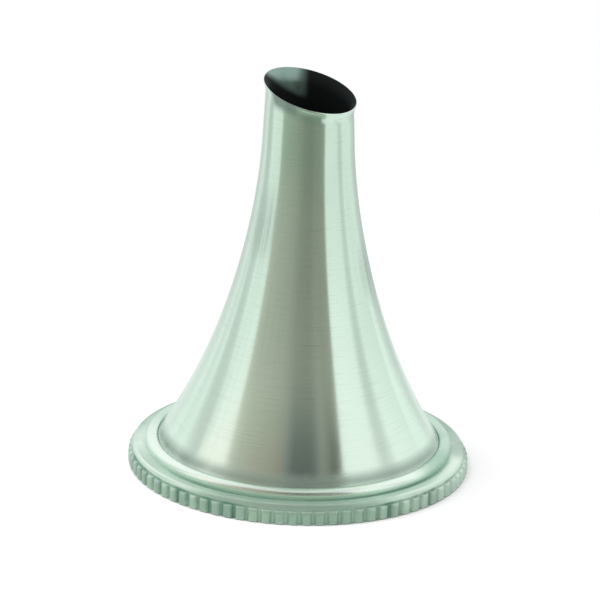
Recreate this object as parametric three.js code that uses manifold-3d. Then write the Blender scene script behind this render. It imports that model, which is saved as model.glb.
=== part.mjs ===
// Ear speculum: a thin spun metal funnel with a slanted tip, soldered into a turned rim with a milled edge.
// Millimetres. The origin is the centre of the rim's underside, +Z runs along the funnel to its tip,
// and +X points to the low side of the slanted tip.
import * as THREE from "three";
import { mergeVertices } from "three/addons/utils/BufferGeometryUtils.js";
import Module from "manifold-3d";

// Driving dimensions of the whole instrument
const OVERALL_HEIGHT = 35;
const RIM_DIAMETER = 29.6;
const TIP_DIAMETER = 8;
const TIP_SLANT_DEG = 15.5;
const SHEET_THICKNESS = 0.35;

// Funnel, measured on its outside
const NECK_DIAMETER = 7.6;
const NECK_LENGTH = 3.5;
const THROAT_DIAMETER = 7.9;
const LIP_HEIGHT = 1;
const FLARE_DEG = 33.4;
const FOOT_PULL = 11.7;
const THROAT_PULL = 5.7;
const SKIRT_BEND_RADIUS = 0.6;

// Milled rim
const MILLED_HEIGHT = 1.2;
const SHOULDER_WIDTH = 0.25;
const SHOULDER_HEIGHT = 0.52;
const STEP_WIDTH = 0.95;
const LEDGE_HEIGHT = 0.5;
const BASE_ROUND = 0.15;
const MOUTH_CHAMFER = 0.12;
const GROOVE_COUNT = 80;
const GROOVE_DEPTH = 0.27;
const GROOVE_WIDTH = 0.62;
const GROOVE_FLOOR_WIDTH = 0.24;
const LAND_MARGIN = 0.03;

// Bead ring that covers the joint of funnel and rim
const BEAD_OVERHANG = 0.6;
const BEAD_HEIGHT = 0.8;
const BEAD_FLANK_HEIGHT = 0.34;
const BEAD_FOOT_HEIGHT = 0.6;

// Solder seam and fits
const SOLDER_WELL = 0.25;
const SKIRT_CLEARANCE = 0.05;
const SEAM_CLEARANCE = 0.03;
const CUT_OVERRUN = 1;

// Steps along the curved outlines
const BELL_STEPS = 11;
const BEND_STEPS = 2;
const LIP_STEPS = 3;
const EDGE_STEPS = 3;
const ROUND_STEPS = 2;
const BEAD_STEPS = 3;

const wasm = await Module();
wasm.setup();

// Radii and heights that follow from the dimensions above
const slant = Math.tan(THREE.MathUtils.degToRad(TIP_SLANT_DEG));
const flare = THREE.MathUtils.degToRad(FLARE_DEG);
const neckRadius = NECK_DIAMETER / 2;
const rimRadius = RIM_DIAMETER / 2;
const landWidth = GROOVE_DEPTH + LAND_MARGIN;
const shoulderRadius = rimRadius - landWidth;
const stepRadius = shoulderRadius - SHOULDER_WIDTH;
const beadRadius = stepRadius - STEP_WIDTH;
const skirtRadius = beadRadius - BEAD_OVERHANG;
const socketRadius = skirtRadius + SKIRT_CLEARANCE;
const mouthRadius = skirtRadius - SHEET_THICKNESS;
const stepHeight = MILLED_HEIGHT + SHOULDER_HEIGHT;
const bendHeight = stepHeight - SOLDER_WELL;

// The lip turns out by this angle at the very tip, and its edge is a half round of the sheet's thickness.
const edgeRadius = SHEET_THICKNESS / 2;
const lipTurn = Math.atan(2 * (TIP_DIAMETER / 2 - neckRadius) / LIP_HEIGHT);
const lipRadius = TIP_DIAMETER / 2 - edgeRadius * (1 - Math.cos(lipTurn));
const edgeCrestRadius = lipRadius - edgeRadius * (Math.cos(lipTurn) - Math.sin(lipTurn));
const lipRise = edgeRadius * (Math.sin(lipTurn) + Math.cos(lipTurn));
const lipTop = OVERALL_HEIGHT - slant * edgeCrestRadius - lipRise;
const lipStart = lipTop - LIP_HEIGHT;
const throatHeight = lipStart - NECK_LENGTH;

// A place on an outline, with the direction that its outside faces
function place(r, z, facing) {
  return { r, z, nr: Math.cos(facing), nz: Math.sin(facing) };
}

function moved(p, distance) {
  return new THREE.Vector2(p.r + p.nr * distance, p.z + p.nz * distance);
}

// Points of an elliptical arc, angles in radians from the +r direction
function arc(centreR, centreZ, radiusR, radiusZ, from, to, steps) {
  const points = [];
  for (let i = 0; i <= steps; i++) {
    const a = from + ((to - from) * i) / steps;
    points.push(new THREE.Vector2(centreR + radiusR * Math.cos(a), centreZ + radiusZ * Math.sin(a)));
  }
  return points;
}

// The bend that turns the straight skirt into the flaring bell
function bendPlaces() {
  const centreR = skirtRadius - SKIRT_BEND_RADIUS;
  return arc(0, 0, 1, 1, 0, flare, BEND_STEPS).map((unit) =>
    place(
      centreR + SKIRT_BEND_RADIUS * unit.x,
      bendHeight + SKIRT_BEND_RADIUS * unit.y,
      unit.angle(),
    ),
  );
}

// The bell, one smooth curve from the end of the bend to the throat
function bellPlaces(foot) {
  const throatRadius = THROAT_DIAMETER / 2;
  const taper = Math.atan((throatRadius - neckRadius) / NECK_LENGTH);
  const footPull = new THREE.Vector2(-Math.sin(flare), Math.cos(flare)).multiplyScalar(FOOT_PULL);
  const throatPull = new THREE.Vector2(Math.sin(taper), -Math.cos(taper)).multiplyScalar(THROAT_PULL);
  const start = new THREE.Vector2(foot.r, foot.z);
  const end = new THREE.Vector2(throatRadius, throatHeight);
  const curve = new THREE.CubicBezierCurve(
    start,
    start.clone().add(footPull),
    end.clone().add(throatPull),
    end,
  );
  const places = [];
  for (let i = 1; i <= BELL_STEPS; i++) {
    const p = curve.getPoint(i / BELL_STEPS);
    const along = curve.getTangent(i / BELL_STEPS);
    places.push(place(p.x, p.y, Math.atan2(-along.x, along.y)));
  }
  return places;
}

// The lip, burnished outwards so that no sharp edge meets the ear
function lipPlaces() {
  const places = [];
  for (let i = 0; i <= LIP_STEPS; i++) {
    const t = i / LIP_STEPS;
    const turn = Math.atan((2 * t * (lipRadius - neckRadius)) / LIP_HEIGHT);
    places.push(place(neckRadius + (lipRadius - neckRadius) * t * t, lipStart + LIP_HEIGHT * t, -turn));
  }
  return places;
}

// The funnel's outside from the end of its skirt to its lip
function funnelPlaces() {
  const bend = bendPlaces();
  const bell = bellPlaces(bend[bend.length - 1]);
  return [place(skirtRadius, LEDGE_HEIGHT, 0), ...bend, ...bell, ...lipPlaces()];
}

const outside = funnelPlaces();

// Radius of the funnel's outside at a height, along the same straight facets
function outsideRadiusAt(z) {
  const i = outside.findIndex((p) => p.z >= z);
  const low = outside[i - 1];
  const high = outside[i];
  return THREE.MathUtils.mapLinear(z, low.z, high.z, low.r, high.r);
}

// The face of a ring that lies round the funnel, from one height down to another
function faceRoundFunnel(top, bottom) {
  const between = outside.map((p) => p.z).filter((z) => z > bottom && z < top);
  const heights = [top, ...between.reverse(), bottom];
  return heights.map((z) => new THREE.Vector2(outsideRadiusAt(z) + SEAM_CLEARANCE, z));
}

// A solid of revolution about Z from an outline that goes up outside and down inside
function turned(outline) {
  const closed = [...outline, outline[0].clone()];
  const geometry = new THREE.LatheGeometry(closed, GROOVE_COUNT);
  return geometry.rotateX(Math.PI / 2);
}

// Tilts the end of the neck, so that the lip runs round the slanted cut
function slantTip(geometry) {
  const position = geometry.getAttribute("position");
  for (let i = 0; i < position.count; i++) {
    const along = THREE.MathUtils.inverseLerp(throatHeight, lipStart, position.getZ(i));
    const share = THREE.MathUtils.clamp(along, 0, 1);
    position.setZ(i, position.getZ(i) - slant * share * position.getX(i));
  }
  geometry.computeVertexNormals();
  return geometry;
}

function funnelGeometry() {
  const wall = outside.map((p) => moved(p, 0));
  const hollow = outside.map((p) => moved(p, -SHEET_THICKNESS)).reverse();
  hollow[hollow.length - 1].y = LEDGE_HEIGHT;
  const edgeCentre = moved(outside[outside.length - 1], -edgeRadius);
  const edge = arc(
    edgeCentre.x,
    edgeCentre.y,
    edgeRadius,
    edgeRadius,
    -lipTurn,
    Math.PI - lipTurn,
    EDGE_STEPS,
  ).slice(1, -1);
  return slantTip(turned([...wall, ...edge, ...hollow]));
}

// A quarter of an ellipse, from one angle to a right angle further on
function rounding(centreR, centreZ, radiusR, radiusZ, from) {
  return arc(centreR, centreZ, radiusR, radiusZ, from, from + Math.PI / 2, ROUND_STEPS);
}

// The milled land rounds over to the foot of a plain shoulder, and a socket inside takes the funnel's skirt.
function rimBlankGeometry() {
  return turned([
    new THREE.Vector2(mouthRadius + MOUTH_CHAMFER, 0),
    ...rounding(rimRadius - BASE_ROUND, BASE_ROUND, BASE_ROUND, BASE_ROUND, -Math.PI / 2),
    ...rounding(shoulderRadius, MILLED_HEIGHT - landWidth, landWidth, landWidth, 0),
    ...rounding(stepRadius, MILLED_HEIGHT, SHOULDER_WIDTH, SHOULDER_HEIGHT, 0).slice(1),
    new THREE.Vector2(socketRadius + SOLDER_WELL, stepHeight),
    new THREE.Vector2(socketRadius, bendHeight),
    new THREE.Vector2(socketRadius, LEDGE_HEIGHT),
    new THREE.Vector2(mouthRadius, LEDGE_HEIGHT),
    new THREE.Vector2(mouthRadius, MOUTH_CHAMFER),
  ]);
}

// One straight groove of the milling, as the body of metal that the cutter takes away
function grooveGeometry(angle) {
  const floor = rimRadius - GROOVE_DEPTH;
  const clear = rimRadius + CUT_OVERRUN;
  const section = new THREE.Shape([
    new THREE.Vector2(floor, -GROOVE_FLOOR_WIDTH / 2),
    new THREE.Vector2(rimRadius, -GROOVE_WIDTH / 2),
    new THREE.Vector2(clear, -GROOVE_WIDTH / 2),
    new THREE.Vector2(clear, GROOVE_WIDTH / 2),
    new THREE.Vector2(rimRadius, GROOVE_WIDTH / 2),
    new THREE.Vector2(floor, GROOVE_FLOOR_WIDTH / 2),
  ]);
  const depth = MILLED_HEIGHT + 2 * CUT_OVERRUN;
  const geometry = new THREE.ExtrudeGeometry(section, { depth, bevelEnabled: false });
  return geometry.translate(0, 0, -CUT_OVERRUN).rotateZ(angle);
}

function solidOf(geometry) {
  const bare = new THREE.BufferGeometry();
  bare.setAttribute("position", geometry.getAttribute("position"));
  bare.setIndex(geometry.getIndex());
  const merged = mergeVertices(bare);
  return new wasm.Manifold(
    new wasm.Mesh({
      numProp: 3,
      vertProperties: merged.getAttribute("position").array,
      triVerts: new Uint32Array(merged.getIndex().array),
    }),
  );
}

function geometryOf(solid) {
  const mesh = solid.getMesh();
  const geometry = new THREE.BufferGeometry();
  geometry.setAttribute("position", new THREE.BufferAttribute(mesh.vertProperties, mesh.numProp));
  geometry.setIndex(new THREE.BufferAttribute(mesh.triVerts, 1));
  const faceted = geometry.toNonIndexed();
  faceted.computeVertexNormals();
  return faceted;
}

// The grooves are cut midway between the blank's corners, so that a tooth stands on each axis.
function rimGeometry() {
  let rim = solidOf(rimBlankGeometry());
  for (let i = 0; i < GROOVE_COUNT; i++) {
    const angle = ((i + 1 / 2) / GROOVE_COUNT) * 2 * Math.PI;
    rim = rim.subtract(solidOf(grooveGeometry(angle)));
  }
  return geometryOf(rim);
}

function beadGeometry() {
  const flank = stepHeight + BEAD_FLANK_HEIGHT;
  const foot = stepHeight + BEAD_FOOT_HEIGHT;
  const crest = stepHeight + BEAD_HEIGHT;
  const footRadius = outsideRadiusAt(foot) + SEAM_CLEARANCE;
  const outward = [BEAD_OVERHANG, crest - flank, 0, Math.PI / 2, BEAD_STEPS];
  const inward = [skirtRadius - footRadius, crest - foot, Math.PI / 2, Math.PI, BEAD_STEPS];
  return turned([
    new THREE.Vector2(beadRadius, stepHeight),
    ...arc(skirtRadius, flank, ...outward),
    ...arc(skirtRadius, foot, ...inward).slice(1, -1),
    ...faceRoundFunnel(foot, stepHeight),
  ]);
}

// Solder fills the well that the rim's chamfer leaves round the skirt, under the bead ring.
function solderGeometry() {
  const chamferClearance = Math.SQRT2 * SEAM_CLEARANCE;
  const chamferFoot = bendHeight - socketRadius;
  const low = chamferFoot + chamferClearance + outsideRadiusAt(bendHeight) + SEAM_CLEARANCE;
  return turned([
    new THREE.Vector2(socketRadius + SOLDER_WELL - chamferClearance, stepHeight),
    ...faceRoundFunnel(stepHeight, low),
  ]);
}

// Colour, roughness and metalness of each piece's metal
const finishes = {
  funnel: { color: "#c4dcca", roughness: 0.3, metalness: 1 },
  bead_ring: { color: "#d2e6d7", roughness: 0.22, metalness: 1 },
  milled_rim: { color: "#bcd2c2", roughness: 0.34, metalness: 1 },
  solder_ring: { color: "#9ea09c", roughness: 0.5, metalness: 1 },
};

function piece(name, geometry) {
  const mesh = new THREE.Mesh(geometry, new THREE.MeshStandardMaterial(finishes[name]));
  mesh.name = name;
  return mesh;
}

const speculum = new THREE.Group();
speculum.add(
  piece("funnel", funnelGeometry()),
  piece("bead_ring", beadGeometry()),
  piece("milled_rim", rimGeometry()),
  piece("solder_ring", solderGeometry()),
);

export default speculum;
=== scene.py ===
import math
import random

import bpy
from mathutils import Matrix, Vector


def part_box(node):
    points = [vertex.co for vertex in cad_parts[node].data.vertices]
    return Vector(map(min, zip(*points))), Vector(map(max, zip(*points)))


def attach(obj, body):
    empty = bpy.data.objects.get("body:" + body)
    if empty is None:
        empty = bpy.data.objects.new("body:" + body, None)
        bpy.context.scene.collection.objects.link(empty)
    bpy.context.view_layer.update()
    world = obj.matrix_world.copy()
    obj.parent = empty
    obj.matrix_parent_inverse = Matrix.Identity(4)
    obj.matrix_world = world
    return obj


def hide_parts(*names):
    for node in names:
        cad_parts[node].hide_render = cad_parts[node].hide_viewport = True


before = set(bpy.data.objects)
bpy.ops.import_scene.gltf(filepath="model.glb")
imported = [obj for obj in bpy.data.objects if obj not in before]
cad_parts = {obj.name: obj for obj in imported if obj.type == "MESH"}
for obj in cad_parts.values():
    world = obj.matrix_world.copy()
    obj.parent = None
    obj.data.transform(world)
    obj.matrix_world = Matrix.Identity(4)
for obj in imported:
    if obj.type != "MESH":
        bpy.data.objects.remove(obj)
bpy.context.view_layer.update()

MM = 0.001

# Sizes that the frame gives
ledge_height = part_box("funnel")[0].z
tip_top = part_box("funnel")[1].z
skirt_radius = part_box("funnel")[1].x
rim_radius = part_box("milled_rim")[1].x
step_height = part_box("milled_rim")[1].z
bead_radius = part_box("bead_ring")[1].x
bead_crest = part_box("bead_ring")[1].z

# Funnel: outline of its outside, and the sheet that it is spun from
NECK_RADIUS = 3.8 * MM
NECK_LENGTH = 3.5 * MM
THROAT_RADIUS = 3.95 * MM
TIP_RADIUS = 4 * MM
TIP_SLANT = math.radians(15.5)
LIP_HEIGHT = 1 * MM
LIP_EDGE = 0.14 * MM
FLARE = math.radians(33.4)
FOOT_PULL = 11.7 * MM
THROAT_PULL = 5.7 * MM
SHEET = 0.35 * MM
SKIRT_BEND = 0.6 * MM
SOLDER_WELL = 0.25 * MM
WALL_WAVE = 0.016 * MM

# Milled rim
MILLED_HEIGHT = 1.2 * MM
LAND_ROUND = 0.3 * MM
SHOULDER_WIDTH = 0.25 * MM
STEP_LIP = 0.05 * MM
BASE_ROUND = 0.15 * MM
MOUTH_CHAMFER = 0.12 * MM
SKIRT_CLEARANCE = 0.05 * MM
GROOVE_COUNT = 80
GROOVE_DEPTH = 0.27 * MM
GROOVE_WIDTH = 0.62 * MM
GROOVE_FLOOR_WIDTH = 0.24 * MM
CREST_WEAR = 0.035 * MM
MILLED_BAND = 2.1 * GROOVE_DEPTH

# Bead ring
BEAD_FLANK_HEIGHT = 0.34 * MM
BEAD_FOOT_HEIGHT = 0.6 * MM
SEAM_CLEARANCE = 0.03 * MM

# What hand spinning and a worn cutter leave uneven: seeds, lobes round the wall with the height of each
# one's wave, how the wave fades in above the bead and out below the tip, and the grooves' ranges
WALL_SEED = 11
WALL_LOBES = [(3, 5 * MM), (5, 8 * MM), (7, -6 * MM), (2, 9 * MM)]
WALL_FOOT_FADE = 2 * MM
WALL_TIP_FADE = 6 * MM
GROOVE_SEED = 5
GROOVE_DEPTHS = (0.84, 1)
GROOVE_WIDTHS = (0.9, 1.08)
GROOVE_SHIFTS_MM = (-0.03, 0.03)

# Fineness of the meshes
FUNNEL_SEGMENTS = 288
BELL_RINGS = 72
NECK_RINGS = 8
LIP_RINGS = 12
BEAD_FOOT_RINGS = 8
RIM_STEPS_PER_GROOVE = 12
SHARP_EDGE = math.radians(38)
FLOOR_SIDES = 96
TABLE_SIDES = 180
CANOPY_SIDES = 48

# Camera, from the photograph's perspective
CAMERA_AZIMUTH = math.radians(32.5)
CAMERA_ELEVATION = math.radians(19.6)
CAMERA_ROLL = math.radians(1.94)
CAMERA_DISTANCE = 400 * MM
CAMERA_LENS = 278
TARGET_RIGHT = -0.272 * MM
TARGET_HEIGHT = 14.957 * MM

# Cards round the object that only its reflections see. Each is a name, a radius, tints, its upright edges as
# (degrees right of the camera, tone), and its rows as (height in mm, factor on the tone, lean in degrees).
# Tints are a height in mm, the tint of the rows below it, and the tint of those above.
PLAIN = (240, (0.95, 1, 0.98), (1, 1, 1))
OLIVE = (-100, (0.81, 1, 0.82), (1.03, 1, 0.89))
PINKISH = (450, (1.02, 1, 0.9), (1.22, 1, 0.87))
BLUISH = (450, (0.93, 1, 0.99), (0.94, 1, 1))
CREAM = (250, (1, 1, 1), (1.1, 1, 0.99))
FRONT_ROWS = [(401, 1.1, 0), (487, 0.93, 0), (596, 0.86, 0), (700, 0.8, 0), (1500, 0.6, 0)]
CARDS = [
    (
        "camera_side_card",
        700 * MM,
        OLIVE,
        [(-67, 0.52), (-56, 0.45), (-38, 0.4), (-24, 0.36), (-8, 0.28), (10, 0.26), (20, 0.3), (42, 0.3)],
        [(-420, 0.95, 0), (-260, 0.96, 0), (0, 0.98, 0), (200, 1, 0), (283, 1.3, 0)] + FRONT_ROWS,
    ),
    (
        "warm_card",
        690 * MM,
        PINKISH,
        [(-57, 0.44), (-40, 0.4), (-27, 0.36), (-17, 0.29), (-12, 0.28)],
        FRONT_ROWS[1:],
    ),
    (
        "cream_card",
        690 * MM,
        CREAM,
        [(-97, 0.98), (-88, 1), (-76, 1), (-67, 0.95)],
        [(230, 1, 0), (300, 1, 0), (1500, 1, 0)],
    ),
    (
        "spot_card",
        680 * MM,
        BLUISH,
        [(-14, 0.29), (-4, 0.135), (14, 0.13), (22, 0.27)],
        [(365, 1.2, 0)] + FRONT_ROWS,
    ),
    (
        "edge_card",
        680 * MM,
        OLIVE,
        [(24, 0.28), (29, 0.22), (34, 0.1), (42, 0.1)],
        [(360, 1.15, 0)] + FRONT_ROWS,
    ),
    (
        "left_seam_card",
        700 * MM,
        PLAIN,
        [(-12, 0.98), (-4, 0.67), (4, 0.67), (14, 0.98)],
        [(-420, 1, -112), (100, 1, -106), (280, 0.96, -99), (500, 0.96, -97), (1000, 1.1, -98)],
    ),
    (
        "right_seam_card",
        700 * MM,
        PLAIN,
        [(-10, 0.98), (-3, 0.7), (3, 0.7), (11, 0.98)],
        [(-420, 0.95, 83), (100, 0.95, 83), (437, 1.08, 85.5), (1000, 1.1, 87)],
    ),
    (
        "left_back_card",
        700 * MM,
        PLAIN,
        [(-165, 0.98), (-155, 0.8), (-142, 0.8), (-130, 0.98)],
        [(-420, 1, 0), (-160, 1, 0), (-20, 1.15, 0), (130, 1.3, 0)],
    ),
    (
        "right_back_card",
        700 * MM,
        PLAIN,
        [(122, 0.98), (134, 0.75), (144, 0.75), (156, 0.6), (170, 0.85)],
        [(-420, 1, 0), (-160, 1, 0), (-20, 1.25, 0), (110, 1.7, 0)],
    ),
    (
        "back_card",
        700 * MM,
        PLAIN,
        [(171, 0.85), (178, 0.6), (186, 0.65), (194, 0.98)],
        [(-420, 1, 0), (-160, 1, 0), (60, 1.2, 0), (300, 1.7, 0)],
    ),
    (
        "wall_card",
        720 * MM,
        PLAIN,
        [(degrees, 1) for degrees in range(-180, 181, 6)],
        [(-420, 0.77, 0), (-60, 0.78, 0), (100, 0.9, 0), (250, 1, 0)],
    ),
]
REACHES_TABLE = 0  # the table takes its tone from the cards whose lowest row is not above this height
CANOPY_HEIGHT = 1500 * MM
CANOPY_RADIUS = 700 * MM
CANOPY_TONE = 0.7

# The table in the reflections: (radius, tone near the rim, how far it takes on the tone of its side of the
# room, in front and elsewhere, and lean in degrees)
TABLE_RINGS = [
    # The first rings' lower tones are a painted shadow of the rim on the table
    (15 * MM, 0.6, 0, 0, 0),
    (16.5 * MM, 0.78, 0, 0, 0),
    (20 * MM, 0.8, 0.1, 0, 0),
    (24 * MM, 0.85, 0.6, 0, 0),
    (32 * MM, 0.9, 0.9, 0, 0),
    (45 * MM, 0.9, 1, 0.1, -14),
    (70 * MM, 0.9, 1, 0.75, -10),
    (80 * MM, 0.9, 1, 1, -5),
    (100 * MM, 0.9, 1, 1, -1),
    (150 * MM, 0.9, 1, 1, 0),
]
TABLE_FAR = 0.85
TABLE_LIFT = 0.02 * MM
DARK_SIDE = 0.6  # below this tone, a direction in front counts as the camera's dark side of the room

# The floor, the world's light on it and the lamp
FLOOR_RADIUS = 75 * MM
FLOOR_TONE = 0.8
FLOOR_GLOW = 0.3
WORLD_LIGHT = 0.62
LAMP_PLACE = (-0.25, -0.15, 0.6)
LAMP_SIZE = 500 * MM
LAMP_POWER = 2.2

# What all metals here share: how much the clouds and the streaks wear the colour, how much tarnish the
# lathe's lines hold, how uneven the roughness is, how much tarnish and painted shade roughen, the relief of
# the lines and of wider turns, and how much the radius counts against the height in the course along an
# outline
CLOUD_WEAR = 0.3
STREAK_WEAR = 0.3
LINE_TARNISH = 0.13
ROUGHNESS_SPREAD = 0.09
TARNISH_AND_SHADE_ROUGHNESS = 0.25
LINE_RELIEF = 0.6
TURN_RELIEF = 0.8
RADIUS_WEIGHT = 0.7

# Sides where tarnish, painted shade and painted dark reflections differ: the direction in degrees right of
# the camera, how many degrees off it the effect begins to fade and where it ends, and its strength
SIDES = {
    # foot and seam: dirt with painted shade; lip: painted shade; step_front, step_wide, milling: painted
    # dark reflections
    "foot": (-76, 12, 36, 0.45),
    "lip": (-34, 11, 27, 1.0),
    "seam": (3, 40, 74, 0.7),
    "bead": (80, 12, 32, 0.52),
    "step_front": (-2, 22, 46, 0.52),
    "step_wide": (-12, 50, 80, 0.4),
    "step_side": (104, 12, 28, 0.55),
    "back": (180, 74, 104, 0.36),
    "milling": (-12, 58, 84, 0.55),
    "milling_front_lighter": (4, 12, 28, 0.4),
}
SEAM_ALL_ROUND = 0.3
MILLING_ALL_ROUND = 0.45

# Smudges on the wall: degrees right of the camera, height and strength, and their shape
SMUDGES = [(76, 18.2 * MM, 1.4), (-50, 22.6 * MM, 0.75)]
SMUDGE_SPREAD = 2 * MM
SMUDGE_CORE = 0.2
SMUDGE_STRETCH = (1, 1, 0.4)

# The painted patch of light inside the tip, its edges shaped like the walls' shadows: for each edge the
# direction that it faces, in degrees right of the camera, and the cosines between which it fades, how fast
# the left edge moves in with depth, and its lower end
PATCH_RIGHT = (-80, -0.16, 0.16)
PATCH_LEFT = (170, -0.07, 0.29)
PATCH_NARROWING = 0.4 / MM
PATCH_END = (1.9 * MM, 3.0 * MM)


def arc(centre_r, centre_z, radius_r, radius_z, start, end, steps):
    """Points (r, z) of an elliptical arc, angles from the outward direction."""
    points = []
    for i in range(steps + 1):
        a = start + (end - start) * i / steps
        points.append((centre_r + radius_r * math.cos(a), centre_z + radius_z * math.sin(a)))
    return points


def bezier(p0, p1, p2, p3, steps):
    """Points and directions of a cubic curve, without its start."""
    found = []
    for i in range(1, steps + 1):
        t = i / steps
        point = p0 * (1 - t) ** 3 + p1 * 3 * t * (1 - t) ** 2 + p2 * 3 * t * t * (1 - t) + p3 * t**3
        along = (p1 - p0) * (1 - t) ** 2 + (p2 - p1) * 2 * t * (1 - t) + (p3 - p2) * t * t
        found.append((point, along.normalized()))
    return found


# Heights and slopes at the tip, as the slanted cut and the turned-out lip set them
slant = math.tan(TIP_SLANT)
lip_turn = math.atan(2 * (TIP_RADIUS - NECK_RADIUS) / LIP_HEIGHT)
lip_top = tip_top - slant * TIP_RADIUS - LIP_EDGE / 2
lip_start = lip_top - LIP_HEIGHT
throat_height = lip_start - NECK_LENGTH
bend_height = step_height - SOLDER_WELL


def funnel_wall():
    """The funnel's outside from skirt to lip: (r, z, outward direction, sheet thickness there)."""
    wall = [(skirt_radius, ledge_height, Vector((1, 0)), SHEET)]
    for r, z in arc(skirt_radius - SKIRT_BEND, bend_height, SKIRT_BEND, SKIRT_BEND, 0, FLARE, 6):
        outward = Vector((r - skirt_radius + SKIRT_BEND, z - bend_height)).normalized()
        wall.append((r, z, outward, SHEET))
    foot = Vector(wall[-1][:2])
    throat = Vector((THROAT_RADIUS, throat_height))
    taper = math.atan((THROAT_RADIUS - NECK_RADIUS) / NECK_LENGTH)
    foot_end = foot + FOOT_PULL * Vector((-math.sin(FLARE), math.cos(FLARE)))
    throat_end = throat + THROAT_PULL * Vector((math.sin(taper), -math.cos(taper)))
    for point, along in bezier(foot, foot_end, throat_end, throat, BELL_RINGS):
        wall.append((point.x, point.y, Vector((along.y, -along.x)), SHEET))
    for i in range(1, NECK_RINGS):
        share = i / NECK_RINGS
        r = THROAT_RADIUS + (NECK_RADIUS - THROAT_RADIUS) * share
        outward = Vector((1, math.tan(taper))).normalized()
        wall.append((r, throat_height + NECK_LENGTH * share, outward, SHEET))
    for i in range(LIP_RINGS + 1):
        share = i / LIP_RINGS
        turn = math.atan(2 * share * (TIP_RADIUS - NECK_RADIUS) / LIP_HEIGHT)
        r = NECK_RADIUS + (TIP_RADIUS - NECK_RADIUS) * share**2
        thin = SHEET + (LIP_EDGE - SHEET) * share**2
        wall.append((r, lip_start + LIP_HEIGHT * share, Vector((math.cos(turn), -math.sin(turn))), thin))
    return wall


def turned(name, outline, segments, shape=None, inside_from=None):
    """A closed turned piece about Z from an outline of (r, z) that goes up outside and down inside.
    shape(r, z, angle) may move each point. Rings from inside_from on take the second material."""
    count = len(outline)
    places = []
    for s in range(segments):
        angle = 2 * math.pi * s / segments
        for r, z in outline:
            if shape:
                r, z = shape(r, z, angle)
            places.append((r * math.cos(angle), r * math.sin(angle), z))
    faces = []
    for s in range(segments):
        t = (s + 1) % segments
        for i in range(count):
            j = (i + 1) % count
            faces.append((s * count + i, t * count + i, t * count + j, s * count + j))
    mesh = bpy.data.meshes.new(name)
    mesh.from_pydata(places, [], faces)
    for face in mesh.polygons:
        face.use_smooth = True
        if inside_from is not None and face.index % count >= inside_from:
            face.material_index = 1
    mesh.set_sharp_from_angle(angle=SHARP_EDGE)
    piece = bpy.data.objects.new(name, mesh)
    bpy.context.scene.collection.objects.link(piece)
    return piece


def wave(seed, lobes_and_lengths):
    """A smooth bumpiness of about -1 to 1 over angle and height, as hand spinning leaves."""
    rng = random.Random(seed)
    terms = [(lobes, length, rng.uniform(0, 2 * math.pi)) for lobes, length in lobes_and_lengths]

    def at(angle, z):
        return sum(math.sin(k * angle + z / length + phase) for k, length, phase in terms) / len(terms)

    return at


def build_funnel():
    """The spun sheet: wall, half-round lip edge and hollow, with the tip sheared to its slant."""
    wall = funnel_wall()
    outside = [(r, z) for r, z, _, _ in wall]
    inside = []
    for r, z, outward, thick in reversed(wall[1:]):
        inside.append((r - outward.x * thick, z - outward.y * thick))
    inside.append((skirt_radius - SHEET, ledge_height))
    r, z, outward, thick = wall[-1]
    centre = Vector((r, z)) - outward * thick / 2
    edge = arc(centre.x, centre.y, thick / 2, thick / 2, -lip_turn, math.pi - lip_turn, 10)[1:-1]
    bumps = wave(WALL_SEED, WALL_LOBES)

    def shape(r, z, angle):
        foot_share = min(max((z - bead_crest) / WALL_FOOT_FADE, 0), 1)
        lip_share = min(max((tip_top - z) / WALL_TIP_FADE, 0), 1)
        r += WALL_WAVE * bumps(angle, z) * foot_share * lip_share
        share = min(max((z - throat_height) / (lip_start - throat_height), 0), 1)
        return r, z - slant * share * r * math.cos(angle)

    outline = outside + edge + inside
    return turned("funnel_shell", outline, FUNNEL_SEGMENTS, shape, len(outside) + len(edge) // 2)


def outside_radius_at(height):
    """Radius of the funnel's outside at a height."""
    wall = funnel_wall()
    for (r0, z0, _, _), (r1, z1, _, _) in zip(wall, wall[1:]):
        if z0 <= height <= z1:
            return r0 + (r1 - r0) * (height - z0) / (z1 - z0)
    raise ValueError("no wall at that height")


def build_bead():
    """The half-round moulding that covers the joint of funnel and rim."""
    flank = step_height + BEAD_FLANK_HEIGHT
    foot = step_height + BEAD_FOOT_HEIGHT
    foot_radius = outside_radius_at(foot) + SEAM_CLEARANCE
    outward = arc(skirt_radius, flank, bead_radius - skirt_radius, bead_crest - flank, 0, math.pi / 2, 14)
    inward = arc(skirt_radius, foot, skirt_radius - foot_radius, bead_crest - foot, math.pi / 2, math.pi, 8)
    outline = [(bead_radius, step_height), *outward, *inward[1:]]
    for i in range(1, BEAD_FOOT_RINGS + 1):
        z = foot + (step_height - foot) * i / BEAD_FOOT_RINGS
        outline.append((outside_radius_at(z) + SEAM_CLEARANCE, z))
    return turned("bead_moulding", outline, FUNNEL_SEGMENTS)


def groove_radius(angle, cuts):
    """Radius that the milling leaves at an angle, without the rounding of the crests."""
    turn = angle / (2 * math.pi) * GROOVE_COUNT - 0.5
    nearest = round(turn)
    depth, width, shift = cuts[nearest % GROOVE_COUNT]
    pitch = 2 * math.pi * rim_radius / GROOVE_COUNT
    aside = abs((turn - nearest) * pitch - shift)
    half_floor = GROOVE_FLOOR_WIDTH / 2
    flank = (aside - half_floor) / (width / 2 - half_floor)
    return rim_radius - depth + depth * max(flank, 0)


def softly_least(a, b, blend):
    """The lesser of two values, with the corner between them rounded over blend."""
    near = max(blend - abs(a - b), 0) / blend
    return min(a, b) - near * near * blend / 4


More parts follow.
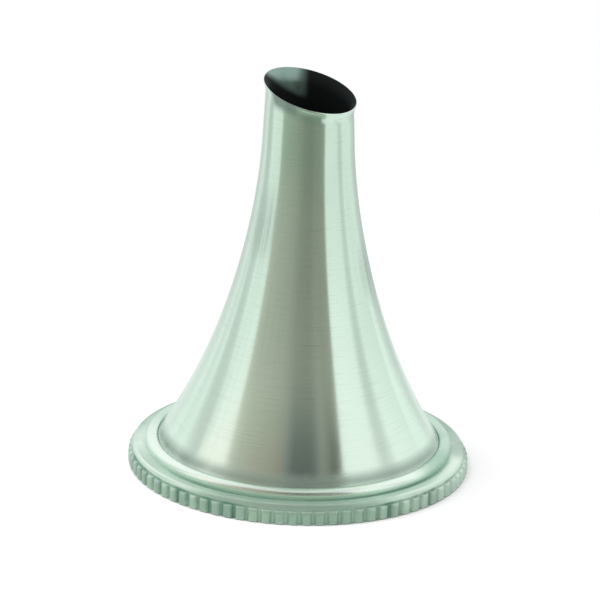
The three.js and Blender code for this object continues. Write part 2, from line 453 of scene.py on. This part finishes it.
def build_rim():
    """The turned ring with its socket, step, shoulder and worn straight milling."""
    rng = random.Random(GROOVE_SEED)
    cuts = []
    for _ in range(GROOVE_COUNT):
        depth = GROOVE_DEPTH * rng.uniform(*GROOVE_DEPTHS)
        width = GROOVE_WIDTH * rng.uniform(*GROOVE_WIDTHS)
        cuts.append((depth, width, rng.uniform(*GROOVE_SHIFTS_MM) * MM))
    mouth = skirt_radius - SHEET
    socket = skirt_radius + SKIRT_CLEARANCE
    shoulder = rim_radius - LAND_ROUND
    step = shoulder - SHOULDER_WIDTH
    land_top = MILLED_HEIGHT - LAND_ROUND
    quarter = math.pi / 2
    outline = [(mouth + MOUTH_CHAMFER, 0)]
    outline += arc(rim_radius - BASE_ROUND, BASE_ROUND, BASE_ROUND, BASE_ROUND, -quarter, 0, 5)
    outline += arc(shoulder, land_top, LAND_ROUND, LAND_ROUND, 0, quarter, 10)
    shoulder_arc = arc(step, MILLED_HEIGHT, SHOULDER_WIDTH, step_height - MILLED_HEIGHT, 0, quarter, 10)
    outline += shoulder_arc[1:]
    outline += [
        (step - STEP_LIP, step_height),
        (socket + SOLDER_WELL, step_height),
        (socket, bend_height),
        (socket, ledge_height),
        (mouth, ledge_height),
        (mouth, MOUTH_CHAMFER),
    ]

    def shape(r, z, angle):
        if r < shoulder - CREST_WEAR or z > MILLED_HEIGHT:
            return r, z
        return softly_least(r, groove_radius(angle, cuts), CREST_WEAR), z

    return turned("rim_milled", outline, GROOVE_COUNT * RIM_STEPS_PER_GROOVE, shape)


class Shader:
    """A material's or the world's node tree, written as a list of plain calls."""

    def __init__(self, owner):
        owner.use_nodes = True
        self.tree = owner.node_tree
        self.tree.nodes.clear()

    def feed(self, socket, value):
        """Links another node's output to the socket, or sets the socket to a plain value."""
        if isinstance(value, bpy.types.NodeSocket):
            self.tree.links.new(value, socket)
        else:
            socket.default_value = value

    def node(self, kind, inputs=(), **settings):
        """A new node with its settings and inputs."""
        made = self.tree.nodes.new(kind)
        for key, value in settings.items():
            setattr(made, key, value)
        for key, value in dict(inputs).items():
            self.feed(made.inputs[key], value)
        return made

    def math(self, operation, *values, clamp=False):
        """What arithmetic on two or three values gives."""
        inputs = dict(enumerate(values))
        return self.node("ShaderNodeMath", inputs, operation=operation, use_clamp=clamp).outputs[0]

    def times(self, first, *others):
        """The product of all values."""
        for other in others:
            first = self.math("MULTIPLY", first, other)
        return first

    def greatest(self, first, *others):
        """The greatest of all values."""
        for other in others:
            first = self.math("MAXIMUM", first, other)
        return first

    def vector(self, operation, *values):
        """What vector arithmetic gives: a number for a length or a dot product, or else a vector."""
        outputs = self.node("ShaderNodeVectorMath", dict(enumerate(values)), operation=operation).outputs
        return outputs["Value"] if operation in ("LENGTH", "DOT_PRODUCT") else outputs[0]

    def ramp(self, value, low, high, to_low=0.0, to_high=1.0):
        """value from low..high to to_low..to_high, smooth at both ends and held beyond them."""
        inputs = {"Value": value, "From Min": low, "From Max": high, "To Min": to_low, "To Max": to_high}
        made = self.node("ShaderNodeMapRange", inputs, interpolation_type="SMOOTHSTEP")
        return made.outputs["Result"]

    def noise(self, vector, scale, detail=2.0, roughness=0.5):
        """Smooth noise with so many cells to a unit of the vector."""
        inputs = {"Vector": vector, "Scale": scale, "Detail": detail, "Roughness": roughness}
        return self.node("ShaderNodeTexNoise", inputs).outputs["Fac"]

    def mix(self, share, a, b):
        """Colour a where share is 0 and b where it is 1."""
        # A mix node's sockets for colours come after those for numbers and vectors
        return self.node("ShaderNodeMix", {0: share, 6: a, 7: b}, data_type="RGBA").outputs[2]


def colour(r, g, b):
    """An opaque colour, as sockets and attributes take it."""
    return (r, g, b, 1.0)


def grained(shader):
    """Coordinates and noises that every metal here shares, for an object that is turned about Z."""
    place = shader.node("ShaderNodeTexCoord").outputs["Object"]
    parts = shader.node("ShaderNodeSeparateXYZ", {0: place}).outputs
    flat = shader.node("ShaderNodeCombineXYZ", {0: parts[0], 1: parts[1]}).outputs[0]
    radius = shader.vector("LENGTH", flat)
    around = shader.vector("NORMALIZE", flat)
    along = shader.math("SUBTRACT", parts[2], shader.times(radius, RADIUS_WEIGHT))

    def drawn(sweep, per_metre, detail, roughness):
        """Noise with sweep cells round the axis and per_metre of them along the outline."""
        wide = shader.node("ShaderNodeVectorMath", {0: around, "Scale": sweep}, operation="SCALE").outputs[0]
        rise = shader.node("ShaderNodeCombineXYZ", {2: shader.times(along, per_metre)}).outputs[0]
        return shader.noise(shader.vector("ADD", wide, rise), 1.0, detail, roughness)

    return {
        "place": place,
        "around": around,
        "height": parts[2],
        "radius": radius,
        "lathe": drawn(2.2, 9000, 3.0, 0.6),
        "turns": drawn(1.3, 700, 2.0, 0.5),
        "streaks": drawn(17.0, 30, 3.0, 0.6),
        "patches": drawn(9.0, 60, 2.0, 0.6),
        "smudge": shader.noise(place, 260.0, 3.0, 0.55),
        "cloud": shader.noise(place, 90.0, 2.0),
    }


def turned_metal(name, colours, roughness, anisotropy, relief, tarnish_and_painted_shade=None, matt=0.0):
    """Plated metal as a lathe leaves it: fine lines round the axis, faint streaks along it, and patina.
    colours are those where it is clean, worn and darkened, the last for tarnishing and for painted shade
    alike, relief is in metres, the darkening function, called with (shader, grain), says where the metal
    tarnishes and where shade is painted, and matt how far that darkening hides the metal's shine."""
    clean, worn, tarnish_and_shade_colour = colours
    material = bpy.data.materials.new(name)
    shader = Shader(material)
    grain = grained(shader)
    patina = shader.times(shader.ramp(grain["cloud"], 0.35, 0.72), CLOUD_WEAR)
    streaked = shader.times(shader.ramp(grain["streaks"], 0.46, 0.7), STREAK_WEAR)
    tone = shader.mix(shader.greatest(patina, streaked), clean, worn)
    lined = shader.times(shader.ramp(grain["lathe"], 0.5, 0.78), LINE_TARNISH)
    tone = shader.mix(lined, tone, tarnish_and_shade_colour)
    uneven = shader.math("ADD", grain["lathe"], grain["smudge"])
    rough = shader.math("MULTIPLY_ADD", uneven, ROUGHNESS_SPREAD, roughness - ROUGHNESS_SPREAD)
    metallic = 1.0
    # The darkening mask holds tarnish and painted shade alike: it darkens the colour, roughens and mattes
    # the metal
    if tarnish_and_painted_shade:
        tarnished_and_shaded = tarnish_and_painted_shade(shader, grain)
        tone = shader.mix(tarnished_and_shaded, tone, tarnish_and_shade_colour)
        rough = shader.math("ADD", rough, shader.times(tarnished_and_shaded, TARNISH_AND_SHADE_ROUGHNESS), clamp=True)
        metallic = shader.math("SUBTRACT", 1.0, shader.times(tarnished_and_shaded, matt), clamp=True)

    turns = shader.times(grain["turns"], TURN_RELIEF)
    height = shader.math("MULTIPLY_ADD", grain["lathe"], LINE_RELIEF, turns)
    bump = shader.node("ShaderNodeBump", {"Height": height, "Strength": 1.0, "Distance": relief})
    tangent = shader.node("ShaderNodeTangent", direction_type="RADIAL", axis="Z")
    surface = shader.node(
        "ShaderNodeBsdfPrincipled",
        {
            "Base Color": tone,
            "Metallic": metallic,
            "Roughness": rough,
            "Specular IOR Level": 0.2,
            "Anisotropic": anisotropy,
            "Anisotropic Rotation": 0.25,
            "Normal": bump.outputs[0],
            "Tangent": tangent.outputs[0],
        },
    )
    shader.node("ShaderNodeOutputMaterial", {"Surface": surface.outputs[0]})
    return material


def facing(degrees):
    """The level direction that points so many degrees right of the camera."""
    a = CAMERA_AZIMUTH + math.radians(degrees)
    return Vector((math.sin(a), -math.cos(a), 0))


def toward(shader, grain, degrees):
    """Cosine of the angle round the axis from the direction that points degrees right of the camera."""
    return shader.vector("DOT_PRODUCT", grain["around"], facing(degrees))


def side_of(shader, grain, name):
    """The strength of one of SIDES, full in its middle and fading out to nothing."""
    degrees, full, end, strength = SIDES[name]
    low, high = math.cos(math.radians(end)), math.cos(math.radians(full))
    return shader.times(shader.ramp(toward(shader, grain, degrees), low, high), strength)


def below_lip(shader, grain):
    """Distance down the tip from the plane of its slanted edge."""
    x = shader.node("ShaderNodeSeparateXYZ", {0: grain["place"]}).outputs[0]
    return shader.math("SUBTRACT", lip_top, shader.math("MULTIPLY_ADD", x, slant, grain["height"]))


def smudged(shader, grain, degrees, height, strength):
    """The strength of an upright smudge on the wall, fading out over its edge."""
    centre = outside_radius_at(height) * facing(degrees) + Vector((0, 0, height))
    away = shader.vector("SUBTRACT", grain["place"], centre)
    far = shader.vector("LENGTH", shader.vector("MULTIPLY", away, SMUDGE_STRETCH))
    share = shader.ramp(far, SMUDGE_SPREAD * SMUDGE_CORE, SMUDGE_SPREAD, to_low=1.0, to_high=0.0)
    return shader.times(share, strength)


def spotted(shader, grain, share):
    """A share of darkening, tarnishing and painted shade alike, uneven as it grows."""
    uneven = shader.ramp(grain["smudge"], 0.2, 0.6, to_low=0.6, to_high=1.0)
    return shader.math("MULTIPLY", share, uneven, clamp=True)


def funnel_tarnish_and_shade(shader, grain):
    """Dull along the foot beside the bead, tarnishing there with painted shade of the corner; painted shade
    under one side of the lip; and two streaky smudges where fingers hold the wall."""
    height = grain["height"]
    # The foot band: tarnish with painted shade of the corner against the bead
    fading = shader.ramp(height, bead_crest + 0.1 * MM, bead_crest + 1.15 * MM, to_low=0.56, to_high=0.0)
    rising = shader.ramp(height, bead_crest - 0.2 * MM, bead_crest + 0.2 * MM, to_low=0.5)
    thick = shader.math("ADD", side_of(shader, grain, "foot"), 1.0)
    foot = shader.times(fading, rising, thick)
    smudges = [smudged(shader, grain, *smudge) for smudge in SMUDGES]
    smear = shader.ramp(grain["streaks"], 0.36, 0.6, to_low=0.1, to_high=0.45)
    held = shader.times(shader.greatest(*smudges), smear)
    # Painted shade under one side of the lip
    near_lip = shader.ramp(below_lip(shader, grain), 0.5 * MM, 1.4 * MM, to_low=0.8, to_high=0.0)
    lip = shader.times(near_lip, side_of(shader, grain, "lip"))
    return spotted(shader, grain, shader.greatest(foot, held, lip))


def hollow_painted_shade_and_light(shader, grain):
    """Painted shade all over the inside, but for a painted patch of light on the high side of the tip, which
    narrows downwards, its edges shaped like the walls' shadows.
    """
    depth = below_lip(shader, grain)
    right, right_low, right_high = PATCH_RIGHT
    left, left_low, left_high = PATCH_LEFT
    right_edge = shader.ramp(toward(shader, grain, right), right_low, right_high)
    inward = shader.math("SUBTRACT", toward(shader, grain, left), shader.times(depth, PATCH_NARROWING))
    left_edge = shader.ramp(inward, left_low, left_high)
    # The patch is painted light falling through the opening; the rest of the inside is painted shade
    lit_share = shader.times(right_edge, left_edge, shader.ramp(depth, *PATCH_END, to_low=1.0, to_high=0.0))
    return shader.math("SUBTRACT", 1.0, lit_share, clamp=True)


def seam_dirt_and_shade(shader, grain):
    """How strong the darkening in the corner of bead and step is, dirt with painted shade of the corner:
    most on the camera's side.
    """
    return shader.math("ADD", SEAM_ALL_ROUND, side_of(shader, grain, "seam"))


def bead_tarnish_and_shade(shader, grain):
    """Dull at the bead's foot on the step, dirt with painted shade of the corner, down one side, and at the
    back.
    """
    # Dirt with painted shade in the corner of bead and step
    low, high = step_height + 0.05 * MM, step_height + 0.25 * MM
    foot = shader.ramp(grain["height"], low, high, to_low=0.4, to_high=0.0)
    foot = shader.times(foot, seam_dirt_and_shade(shader, grain))
    side, back = side_of(shader, grain, "bead"), side_of(shader, grain, "back")
    return spotted(shader, grain, shader.greatest(foot, side, back))


def ring_tarnish_and_shade(shader, grain):
    """Dull on the rim, milled or not: in the corner beside the bead, dirt with painted shade; in front, a
    painted dark reflection of the camera's side of the room; down one side; and at the back, there more
    towards the edge."""
    radius = grain["radius"]
    # The corner beside the bead: dirt with painted shade
    seam = shader.ramp(radius, bead_radius + 0.15 * MM, bead_radius + 0.5 * MM, to_low=0.9, to_high=0.1)
    seam = shader.times(seam, seam_dirt_and_shade(shader, grain))
    outward = shader.ramp(radius, bead_radius + 0.5 * MM, rim_radius - 0.4 * MM, to_low=1.0, to_high=1.6)
    back = shader.times(side_of(shader, grain, "back"), outward)
    # In front: a painted dark reflection of the camera's side of the room
    front, side = side_of(shader, grain, "step_front"), side_of(shader, grain, "step_side")
    return shader.greatest(seam, back, front, side)


def rim_tarnish_and_shade(shader, grain):
    """Dull as the whole ring is, a little on the step towards the camera, a painted dark reflection, and
    over the milling
    in patches: most in its grooves, dirt with painted shade, and on the camera's side, a painted reflection
    of the shaded table; less straight in front of the camera."""
    radius = grain["radius"]
    low = shader.ramp(grain["height"], MILLED_HEIGHT + 0.3 * MM, MILLED_HEIGHT + 0.05 * MM)
    outer = shader.math("GREATER_THAN", radius, rim_radius - MILLED_BAND)
    # Darker deeper in the grooves: dirt with painted shade
    groove = shader.ramp(radius, rim_radius - 0.06 * MM, rim_radius - GROOVE_DEPTH, to_low=0.5, to_high=0.8)
    patches = shader.ramp(grain["patches"], 0.34, 0.66, to_low=0.7, to_high=1.2)
    # Lighter straight in front, darker on the camera's side: painted reflection of the shaded table
    kept = shader.math("SUBTRACT", 1.0, side_of(shader, grain, "milling_front_lighter"))
    near = shader.math("ADD", side_of(shader, grain, "milling"), MILLING_ALL_ROUND)
    milled = shader.times(patches, kept, groove, near, low, outer)
    inner = shader.math("SUBTRACT", 1.0, outer)
    # The step towards the camera: a painted dark reflection
    wide = shader.times(side_of(shader, grain, "step_wide"), inner)
    return spotted(shader, grain, shader.greatest(ring_tarnish_and_shade(shader, grain), wide, milled))


def background_ray(shader):
    """1 for the rays that see the background as it is: from the camera, a reflection or a refraction."""
    path = shader.node("ShaderNodeLightPath").outputs
    return shader.greatest(path["Is Camera Ray"], path["Is Glossy Ray"], path["Is Transmission Ray"])


def make_world():
    """White behind the object and in its reflections, and soft light of a plain level on the floor."""
    world = bpy.data.worlds.new("studio")
    bpy.context.scene.world = world
    shader = Shader(world)
    tone = shader.mix(background_ray(shader), colour(*[WORLD_LIGHT] * 3), colour(1, 1, 1))
    light = shader.node("ShaderNodeBackground", {"Color": tone, "Strength": 1.0})
    shader.node("ShaderNodeOutputWorld", {"Surface": light.outputs[0]})
    world.cycles.sampling_method = "NONE"


def make_floor():
    """A pale round table top that keeps the object's shadow and is white elsewhere."""
    angles = [2 * math.pi * i / FLOOR_SIDES for i in range(FLOOR_SIDES)]
    mesh = bpy.data.meshes.new("floor")
    places = [(FLOOR_RADIUS * math.cos(a), FLOOR_RADIUS * math.sin(a), 0) for a in angles]
    mesh.from_pydata(places, [], [tuple(range(FLOOR_SIDES))])
    floor = bpy.data.objects.new("floor", mesh)
    bpy.context.scene.collection.objects.link(floor)
    material = bpy.data.materials.new("floor_white")
    shader = Shader(material)
    matt = shader.node("ShaderNodeBsdfDiffuse", {"Color": colour(*[FLOOR_TONE] * 3)})
    away = shader.vector("LENGTH", shader.node("ShaderNodeTexCoord").outputs["Object"])
    outside = shader.math("GREATER_THAN", away, rim_radius)
    lift = shader.times(background_ray(shader), outside, FLOOR_GLOW)
    glow = shader.node("ShaderNodeEmission", {"Color": colour(1, 1, 1), "Strength": lift})
    both = shader.node("ShaderNodeAddShader", {0: matt.outputs[0], 1: glow.outputs[0]})
    shader.node("ShaderNodeOutputMaterial", {"Surface": both.outputs[0]})
    mesh.materials.append(material)


def side_angle(degrees):
    """The same direction as an angle from -180 to 180."""
    return (degrees + 180) % 360 - 180


def side_tone(degrees):
    """How bright the surroundings are low down in a direction: the tone of the card there, or 1. The last
    card is the wall behind the others, which has that 1 all round."""
    for _, _, _, stops, rows in CARDS[:-1]:
        if rows[0][0] > REACHES_TABLE:
            continue
        turned_by = (degrees - stops[0][0] - rows[0][2]) % 360
        for (a, tone_a), (b, tone_b) in zip(stops, stops[1:]):
            low, high = a - stops[0][0], b - stops[0][0]
            if low <= turned_by <= high:
                return tone_a + (tone_b - tone_a) * (turned_by - low) / (high - low)
    return 1.0


def make_card(name, places, faces, tones):
    """A card that only reflections see, as a photographer sets beside white panels."""
    mesh = bpy.data.meshes.new(name)
    mesh.from_pydata(places, [], faces)
    layer = mesh.color_attributes.new("tone", "FLOAT_COLOR", "POINT")
    for i, tone in enumerate(tones):
        layer.data[i].color = colour(*tone)
    card = bpy.data.objects.new(name, mesh)
    bpy.context.scene.collection.objects.link(card)
    material = bpy.data.materials.new(name)
    shader = Shader(material)
    tone = shader.node("ShaderNodeVertexColor", layer_name="tone").outputs["Color"]
    glow = shader.node("ShaderNodeEmission", {"Color": tone, "Strength": 1.0})
    shader.node("ShaderNodeOutputMaterial", {"Surface": glow.outputs[0]})
    material.cycles.emission_sampling = "NONE"
    mesh.materials.append(material)
    card.visible_camera = False
    card.visible_diffuse = False
    card.visible_shadow = False


def make_upright_card(name, radius, tints, stops, rows):
    """A tall card, curved round the object."""
    places, tones, faces = [], [], []
    change, low_tint, high_tint = tints
    for degrees, tone in stops:
        for height, factor, lean in rows:
            places.append(radius * facing(degrees + lean) + Vector((0, 0, height * MM)))
            tint = high_tint if height > change else low_tint
            tones.append([min(tone * factor, 1) * part for part in tint])
    count = len(rows)
    for i in range(len(stops) - 1):
        for j in range(count - 1):
            k = i * count + j
            faces.append((k, k + count, k + count + 1, k + 1))
    make_card(name, places, faces, tones)


def make_table_card():
    """The table as the metal sees it: light round the rim but for a painted shadow of the rim right at its
    edge, and farther off as each side of the room.
    """
    places, tones, faces = [], [], []
    count = len(TABLE_RINGS)
    for i in range(TABLE_SIDES):
        degrees = 360 * i / TABLE_SIDES
        for j, (r, near, share_in_front, share_elsewhere, lean) in enumerate(TABLE_RINGS):
            side = side_tone(degrees - lean)
            in_front = side < DARK_SIDE and abs(side_angle(degrees - lean)) < 90
            tint = OLIVE[1] if in_front else PLAIN[1]
            places.append(r * facing(degrees) + Vector((0, 0, TABLE_LIFT)))
            share = share_in_front if in_front else share_elsewhere
            tone = near + (TABLE_FAR * side - near) * share
            tones.append([tone * part for part in tint])
            if j:
                k = (i + 1) % TABLE_SIDES
                faces.append((i * count + j - 1, k * count + j - 1, k * count + j, i * count + j))
    make_card("table_card", places, faces, tones)


def make_canopy():
    """A round card overhead, half in shade."""
    above = Vector((0, 0, CANOPY_HEIGHT))
    places = [CANOPY_RADIUS * facing(360 * i / CANOPY_SIDES) + above for i in range(CANOPY_SIDES)]
    make_card("canopy_card", places, [tuple(range(CANOPY_SIDES))], [[CANOPY_TONE] * 3] * CANOPY_SIDES)


def make_lamp():
    """A large soft lamp above and to the left, for the soft shadow on the floor."""
    data = bpy.data.lights.new("soft_lamp", "AREA")
    data.shape = "DISK"
    data.size = LAMP_SIZE
    data.energy = LAMP_POWER
    lamp = bpy.data.objects.new("soft_lamp", data)
    bpy.context.scene.collection.objects.link(lamp)
    lamp.location = LAMP_PLACE
    lamp.rotation_mode = "QUATERNION"
    lamp.rotation_quaternion = (-lamp.location).to_track_quat("-Z", "Y")
    lamp.visible_glossy = False


def make_camera():
    """The photograph's view, from its fitted place, with its small roll."""
    right = Vector((math.cos(CAMERA_AZIMUTH), math.sin(CAMERA_AZIMUTH), 0))
    back = facing(0) * math.cos(CAMERA_ELEVATION) + Vector((0, 0, math.sin(CAMERA_ELEVATION)))
    up = back.cross(right)
    across = right * math.cos(CAMERA_ROLL) + up * math.sin(CAMERA_ROLL)
    upright = up * math.cos(CAMERA_ROLL) - right * math.sin(CAMERA_ROLL)
    target = right * TARGET_RIGHT + Vector((0, 0, TARGET_HEIGHT))
    data = bpy.data.cameras.new("camera")
    data.lens = CAMERA_LENS
    data.clip_start = 10 * MM
    camera = bpy.data.objects.new("camera", data)
    bpy.context.scene.collection.objects.link(camera)
    turn = Matrix((across, upright, back)).transposed().to_4x4()
    camera.matrix_world = Matrix.Translation(target + back * CAMERA_DISTANCE) @ turn
    bpy.context.scene.camera = camera


def make_metals():
    """The metals by the piece, or the side of it, that wears them."""
    silver = colour(0.77, 0.93, 0.81)
    rubbed_bright = colour(0.85, 0.97, 0.88)
    worn = colour(0.70, 0.83, 0.72)
    # The darkened colours stand for tarnish and also for the shade that the masks paint
    dark_tarnish_and_shade = colour(0.12, 0.19, 0.15)
    verdigris_and_shade = colour(0.10, 0.25, 0.17)
    pale_verdigris_and_shade = colour(0.17, 0.48, 0.32)
    # The inside's colours: the lit patch, painted light, and painted shade elsewhere
    lit_patch_inside = colour(0.3, 0.43, 0.38)
    painted_shade_black = colour(0.008, 0.011, 0.011)
    solder_grey = colour(0.42, 0.43, 0.42)
    return {
        "outside": turned_metal(
            "funnel_metal",
            (silver, worn, dark_tarnish_and_shade),
            roughness=0.19,
            anisotropy=0.85,
            relief=1.1e-6,
            tarnish_and_painted_shade=funnel_tarnish_and_shade,
            matt=0.6,
        ),
        "hollow": turned_metal(
            "funnel_hollow_metal",
            (lit_patch_inside, lit_patch_inside, painted_shade_black),
            roughness=0.42,
            anisotropy=0.6,
            relief=3e-6,
            tarnish_and_painted_shade=hollow_painted_shade_and_light,
            matt=1.0,
        ),
        "bead": turned_metal(
            "bead_metal",
            (rubbed_bright, silver, pale_verdigris_and_shade),
            roughness=0.27,
            anisotropy=0.4,
            relief=1e-6,
            tarnish_and_painted_shade=bead_tarnish_and_shade,
            matt=1.0,
        ),
        "rim": turned_metal(
            "rim_metal",
            (silver, worn, verdigris_and_shade),
            roughness=0.26,
            anisotropy=0.5,
            relief=2e-6,
            tarnish_and_painted_shade=rim_tarnish_and_shade,
            matt=1.0,
        ),
        "solder": turned_metal(
            "solder_metal",
            (solder_grey, solder_grey, dark_tarnish_and_shade),
            roughness=0.5,
            anisotropy=0.0,
            relief=4e-6,
        ),
    }


def main():
    """Sets the stage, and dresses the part."""
    bpy.context.scene.view_settings.view_transform = "Standard"
    make_world()
    make_floor()
    make_lamp()
    make_camera()
    for card in CARDS:
        make_upright_card(*card)
    make_table_card()
    make_canopy()

    metals = make_metals()
    funnel = build_funnel()
    moulding = build_bead()
    rim = build_rim()
    for piece, node, slot, used in (
        (funnel, "funnel", "funnel_metal", ("outside", "hollow")),
        (moulding, "bead_ring", "bead_metal", ("bead",)),
        (rim, "milled_rim", "rim_metal", ("rim",)),
    ):
        for name in used:
            piece.data.materials.append(metals[name])
        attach(piece, "root")
        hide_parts(node)
    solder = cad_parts["solder_ring"]
    solder.data.materials.clear()
    solder.data.materials.append(metals["solder"])


main()
